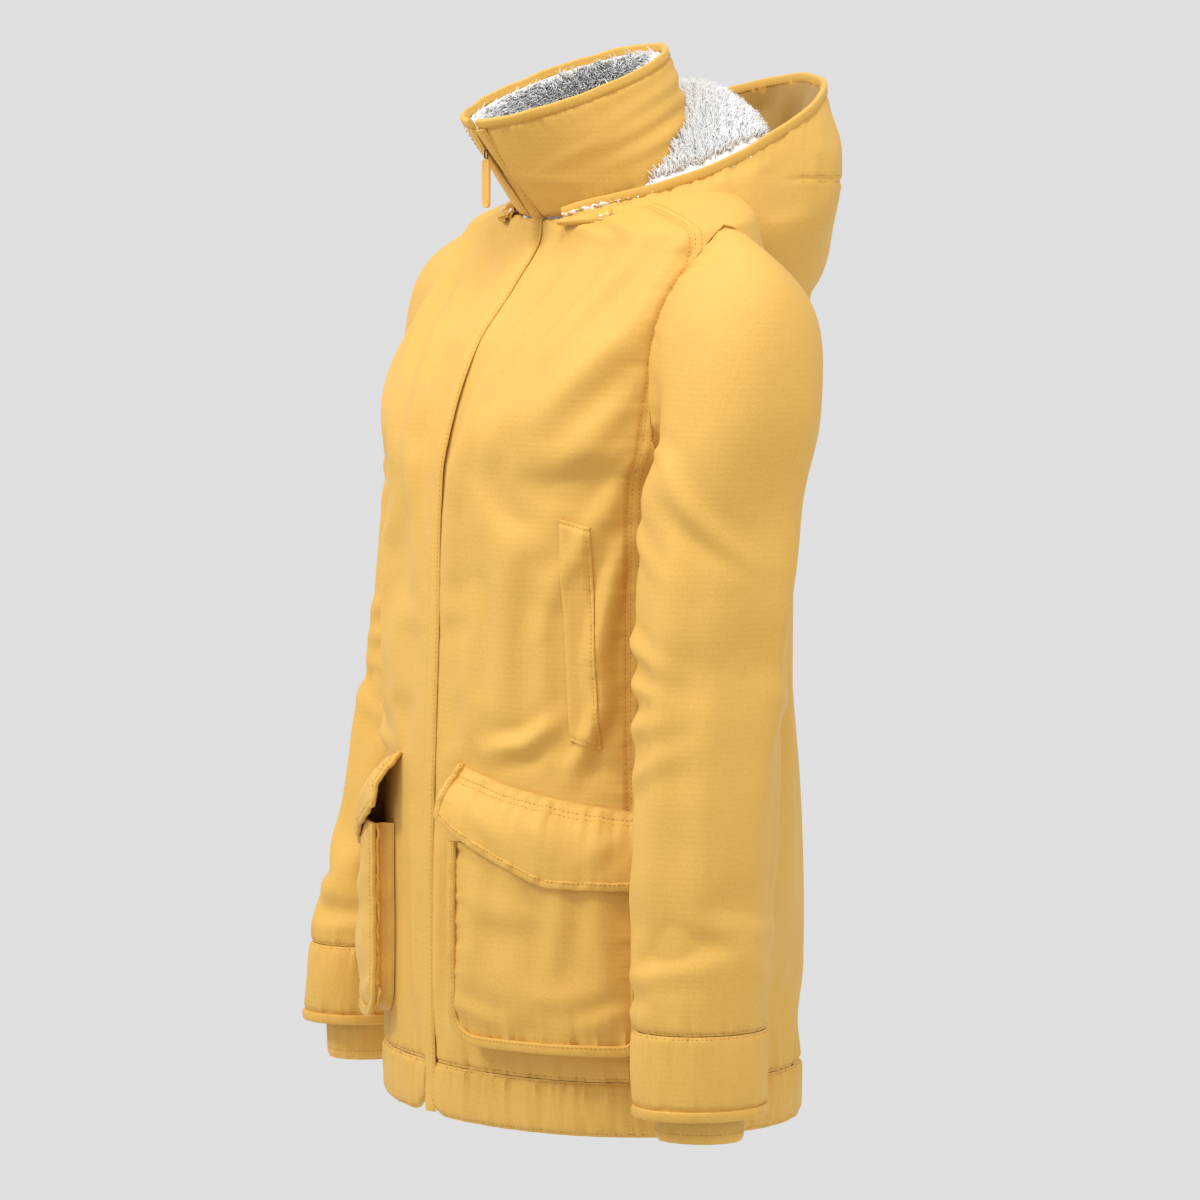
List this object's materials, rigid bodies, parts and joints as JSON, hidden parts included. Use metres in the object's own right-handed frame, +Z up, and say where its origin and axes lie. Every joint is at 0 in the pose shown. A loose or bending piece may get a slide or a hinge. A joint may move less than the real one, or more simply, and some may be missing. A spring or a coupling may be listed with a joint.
{
  "type": "hooded parka",
  "caption": "Women's hooded winter parka with a funnel collar, a concealed zip, flapped patch pockets, slanted hand pockets and a pile lining.",
  "frame": {"origin": "top of the hanger loop's opening, inside the back neck", "axes": "+Z up, -Y out of the front, +X to the wearer's left"},
  "size_m": [0.6588, 0.3799, 0.8368],
  "materials": {
    "shell_fabric": "matt woven softshell with a soft sheen",
    "pile_lining": "curly pile",
    "satin_lining": "satin lining",
    "zip_metal": "dark lacquered metal",
    "zip_coil": "nylon coil",
    "tape": "woven tape",
    "snap_plastic": "glossy resin snap cap"
  },
  "bodies": {
    "coat": {"left_front_panel": "shell_fabric", "right_front_panel": "shell_fabric", "back_panel": "shell_fabric", "shoulder_yoke": "shell_fabric", "left_front_hem_band": "shell_fabric", "right_front_hem_band": "shell_fabric", "back_hem_band": "shell_fabric", "left_front_lining": "pile_lining", "right_front_lining": "pile_lining", "back_lining": "pile_lining", "yoke_lining": "pile_lining", "collar_outer": "shell_fabric", "collar_lining": "pile_lining", "collar_rim_binding": "shell_fabric", "chin_guard": "shell_fabric", "front_placket_strip": "shell_fabric", "collar_placket_strip": "shell_fabric", "left_zip_tape": "tape", "right_zip_tape": "tape", "left_zip_teeth": "zip_coil", "right_zip_teeth": "zip_coil", "storm_flap": "shell_fabric", "zip_end_stops": "zip_metal", "left_patch_pocket": "shell_fabric", "right_patch_pocket": "shell_fabric", "left_pocket_gusset": "shell_fabric", "right_pocket_gusset": "shell_fabric", "left_pocket_binding": "shell_fabric", "right_pocket_binding": "shell_fabric", "left_hand_pocket_bag": "satin_lining", "right_hand_pocket_bag": "satin_lining", "left_hand_pocket_welt": "shell_fabric", "right_hand_pocket_welt": "shell_fabric", "left_hood_corner": "shell_fabric", "right_hood_corner": "shell_fabric", "hood_corner_snaps": "snap_plastic", "hanger_loop": "tape"},
    "zip_slider": {"zip_slider": "zip_metal"},
    "zip_pull": {"zip_pull_tab": "shell_fabric"},
    "left_flap": {"left_pocket_flap": "shell_fabric", "left_flap_binding": "shell_fabric"},
    "right_flap": {"right_pocket_flap": "shell_fabric", "right_flap_binding": "shell_fabric"},
    "left_arm": {"left_sleeve": "shell_fabric", "left_sleeve_lining": "satin_lining", "left_cuff_band": "shell_fabric", "left_cuff_binding": "shell_fabric", "left_storm_cuff": "shell_fabric"},
    "right_arm": {"right_sleeve": "shell_fabric", "right_sleeve_lining": "satin_lining", "right_cuff_band": "shell_fabric", "right_cuff_binding": "shell_fabric", "right_storm_cuff": "shell_fabric"},
    "hood": {"hood_centre_panel": "shell_fabric", "left_hood_side_panel": "shell_fabric", "right_hood_side_panel": "shell_fabric", "hood_lining": "satin_lining", "hood_pile_facing": "pile_lining", "hood_rim_binding": "shell_fabric"}
  },
  "joints": [
    {"name": "zip_slider_travel", "type": "slide", "parent": "coat", "child": "zip_slider", "axis": [0, 0.5902, -0.8072], "range_m": [0, 0.036]},
    {"name": "zip_pull_swing", "type": "hinge", "parent": "zip_slider", "child": "zip_pull", "pos_m": [0, -0.15573, 0.00929], "axis": [-1, 0, 0], "range_deg": [-10, 115]},
    {"name": "left_flap_lift", "type": "hinge", "parent": "coat", "child": "left_flap", "pos_m": [0.1271, -0.18347, -0.4803], "axis": [-0.855, -0.4865, 0.1795], "range_deg": [0, 110]},
    {"name": "right_flap_lift", "type": "hinge", "parent": "coat", "child": "right_flap", "pos_m": [-0.1271, -0.18347, -0.4803], "axis": [-0.855, 0.4865, -0.1795], "range_deg": [0, 110]},
    {"name": "left_sleeve_lift", "type": "hinge", "parent": "coat", "child": "left_arm", "pos_m": [0.1844, -0.062, -0.051], "axis": [0, -1, 0], "range_deg": [0, 60]},
    {"name": "right_sleeve_lift", "type": "hinge", "parent": "coat", "child": "right_arm", "pos_m": [-0.1844, -0.062, -0.051], "axis": [0, 1, 0], "range_deg": [0, 60]},
    {"name": "hood_lift", "type": "hinge", "parent": "coat", "child": "hood", "pos_m": [0, 0.03, -0.006], "axis": [1, 0, 0], "range_deg": [0, 30]}
  ]
}
